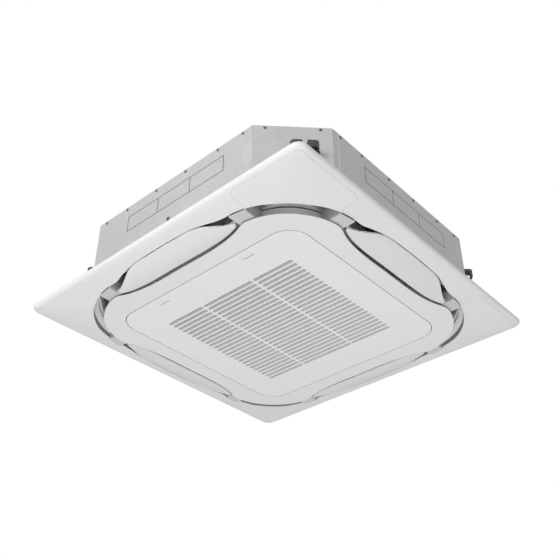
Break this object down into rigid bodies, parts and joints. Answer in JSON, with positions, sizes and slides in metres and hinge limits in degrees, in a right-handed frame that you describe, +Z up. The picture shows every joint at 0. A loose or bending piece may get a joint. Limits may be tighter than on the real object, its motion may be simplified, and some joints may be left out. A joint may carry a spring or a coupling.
{
  "type": "ceiling cassette air conditioner",
  "caption": "Ceiling cassette air conditioner: galvanised casing with coil, turbo fan and drain pump over a white square panel with all-round air outlets, swinging flaps and a drop-down grille.",
  "frame": {"origin": "middle of the panel in plan, at the level of the suction grille's lower face, which is the unit's lowest point", "axes": "+Z up into the ceiling void; -Y is the front, where the grille's latches are; the grille's hinge is at +Y; pipes leave at the -X +Y corner"},
  "size_m": [0.95, 0.95, 0.246],
  "materials": {
    "galvanised_steel": "spangled zinc, satin",
    "zinc_plated_steel": "bright zinc plating",
    "white_foam": "moulded expanded polystyrene",
    "panel_white": "fine satin moulding",
    "flap_white": "fine satin moulding",
    "grille_white": "fine satin moulding",
    "bridge_grey": "satin moulding",
    "filter_grey": "open net",
    "black_rubber": "matte",
    "fin_aluminium": "fine fins",
    "copper": "drawn copper tube",
    "brass_nut": "machined",
    "fan_plastic": "moulded",
    "motor_black": "satin paint",
    "motor_steel": "plated can",
    "board_green": "solder mask",
    "grey_plastic": "moulded"
  },
  "bodies": {
    "root": {"bell_mouth": "fan_plastic", "bridges": "bridge_grey", "cable_gland": "black_rubber", "casing_screws": "zinc_plated_steel", "casing_shell": "galvanised_steel", "circuit_board": "board_green", "coil_end_plates": "galvanised_steel", "coil_fins": "fin_aluminium", "control_box": "zinc_plated_steel", "control_lid": "zinc_plated_steel", "corner_cover_back_left": "panel_white", "corner_cover_back_right": "panel_white", "corner_cover_front_left": "panel_white", "corner_cover_front_right": "panel_white", "drain_hose": "black_rubber", "drain_pan": "white_foam", "drain_socket": "grey_plastic", "fan_motor": "motor_black", "flap_motor_back": "motor_steel", "flap_motor_front": "motor_steel", "flap_motor_left": "motor_steel", "flap_motor_right": "motor_steel", "float_switch": "grey_plastic", "gas_flare_nut": "brass_nut", "gas_pipe": "copper", "hanger_bracket_back_left": "zinc_plated_steel", "hanger_bracket_back_right": "zinc_plated_steel", "hanger_bracket_front_left": "zinc_plated_steel", "hanger_bracket_front_right": "zinc_plated_steel", "insulation_liner": "white_foam", "intake_ring": "panel_white", "liquid_flare_nut": "brass_nut", "liquid_pipe": "copper", "motor_bracket": "zinc_plated_steel", "motor_mounts": "black_rubber", "panel_bolts": "zinc_plated_steel", "panel_frame": "panel_white", "panel_seals": "black_rubber", "pipe_plate": "grey_plastic", "pump_body": "grey_plastic", "pump_bracket": "zinc_plated_steel", "pump_motor": "motor_black", "return_bends": "copper", "terminal_block": "grey_plastic", "top_plate": "galvanised_steel"},
    "fan": {"turbo_fan": "fan_plastic", "fan_shaft": "zinc_plated_steel", "fan_nut": "zinc_plated_steel"},
    "pump_rotor": {"pump_impeller": "fan_plastic"},
    "float": {"float_ball": "fan_plastic"},
    "grille": {"suction_grille": "grille_white", "air_filter": "filter_grey"},
    "latch_left": {"grille_latch_left": "grille_white"},
    "latch_right": {"grille_latch_right": "grille_white"},
    "flap_right": {"air_flap_right": "flap_white"},
    "flap_back": {"air_flap_back": "flap_white"},
    "flap_left": {"air_flap_left": "flap_white"},
    "flap_front": {"air_flap_front": "flap_white"}
  },
  "joints": [
    {"name": "fan_spin", "type": "hinge", "parent": "root", "child": "fan", "pos_m": [0, 0, 0.18], "axis": [0, 0, 1], "continuous": true},
    {"name": "pump_spin", "type": "hinge", "parent": "root", "child": "pump_rotor", "pos_m": [-0.303, 0.303, 0.1], "axis": [0, 0, 1], "continuous": true},
    {"name": "float_rise", "type": "slide", "parent": "root", "child": "float", "axis": [0, 0, 1], "range_m": [0, 0.012]},
    {"name": "grille_drop", "type": "hinge", "parent": "root", "child": "grille", "pos_m": [0, 0.274, 0.0022], "axis": [1, 0, 0], "range_deg": [0, 90]},
    {"name": "latch_left_slide", "type": "slide", "parent": "grille", "child": "latch_left", "axis": [0, 1, 0], "range_m": [0, 0.003], "stiffness_N_per_m": 250},
    {"name": "latch_right_slide", "type": "slide", "parent": "grille", "child": "latch_right", "axis": [0, 1, 0], "range_m": [0, 0.003], "stiffness_N_per_m": 250},
    {"name": "flap_right_swing", "type": "hinge", "parent": "root", "child": "flap_right", "pos_m": [0.387, 0, 0.013], "axis": [0, 1, 0], "range_deg": [0, 60]},
    {"name": "flap_back_swing", "type": "hinge", "parent": "root", "child": "flap_back", "pos_m": [0, 0.387, 0.013], "axis": [-1, 0, 0], "range_deg": [0, 60]},
    {"name": "flap_left_swing", "type": "hinge", "parent": "root", "child": "flap_left", "pos_m": [-0.387, 0, 0.013], "axis": [0, -1, 0], "range_deg": [0, 60]},
    {"name": "flap_front_swing", "type": "hinge", "parent": "root", "child": "flap_front", "pos_m": [0, -0.387, 0.013], "axis": [1, 0, 0], "range_deg": [0, 60]}
  ]
}
